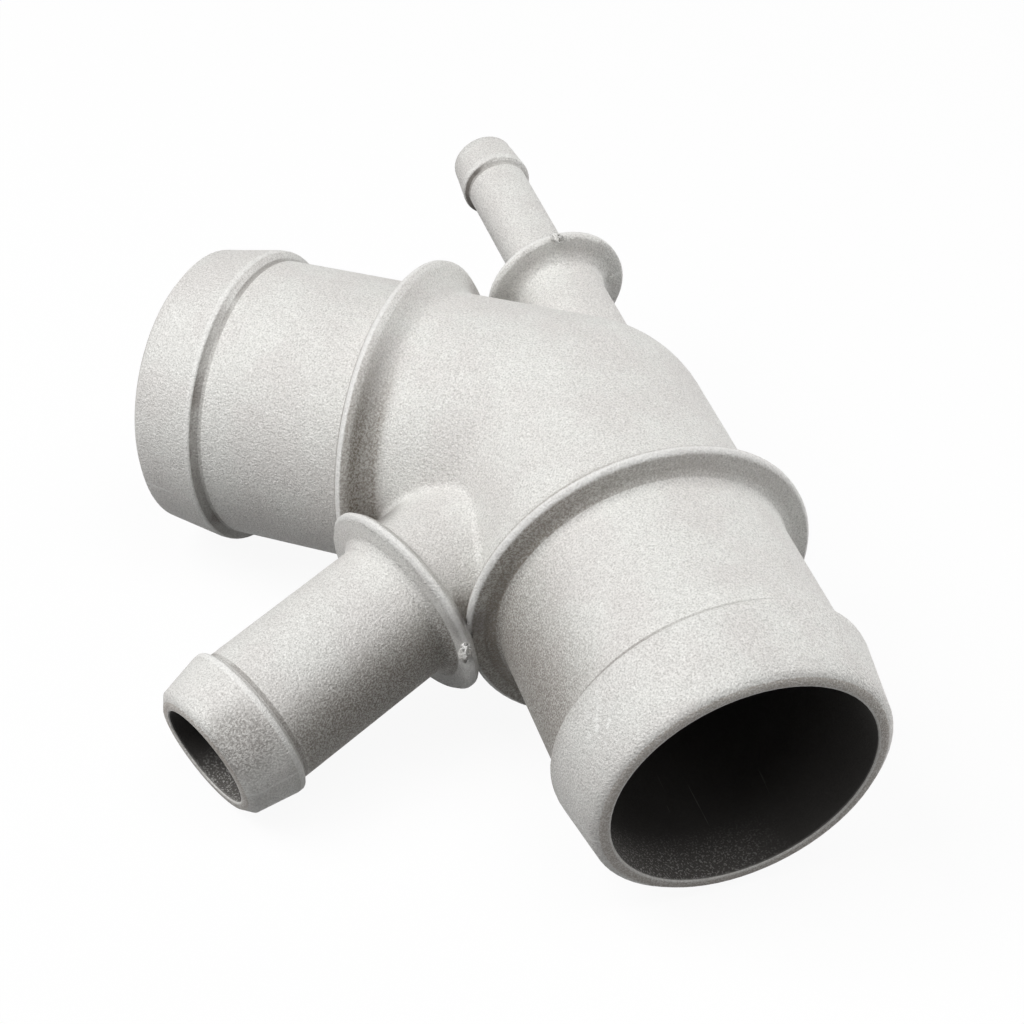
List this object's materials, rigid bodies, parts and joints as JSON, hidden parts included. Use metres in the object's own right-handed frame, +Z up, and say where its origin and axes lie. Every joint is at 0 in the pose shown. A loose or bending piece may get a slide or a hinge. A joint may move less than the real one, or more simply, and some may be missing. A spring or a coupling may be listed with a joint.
{
  "type": "coolant pipe fitting",
  "caption": "Cast elbow fitting that joins hoses: wide barbed ports with collars, a middle-sized branch port on the inside of the elbow and a narrow vent port on its outside.",
  "frame": {"origin": "on the table that it lies on, under the middle of its bounding box", "axes": "+Z up as it lies on its two large collars and the lip of its branch; seen from above the inlet points to -X and the outlet between +X and -Y; the plane of the ports is tipped 15 degrees down towards the branch"},
  "size_m": [0.1096, 0.114, 0.0454],
  "materials": {
    "cast_aluminium": "sand-blasted casting, matte"
  },
  "bodies": {
    "root": {"pipe_casting": "cast_aluminium"}
  },
  "joints": []
}
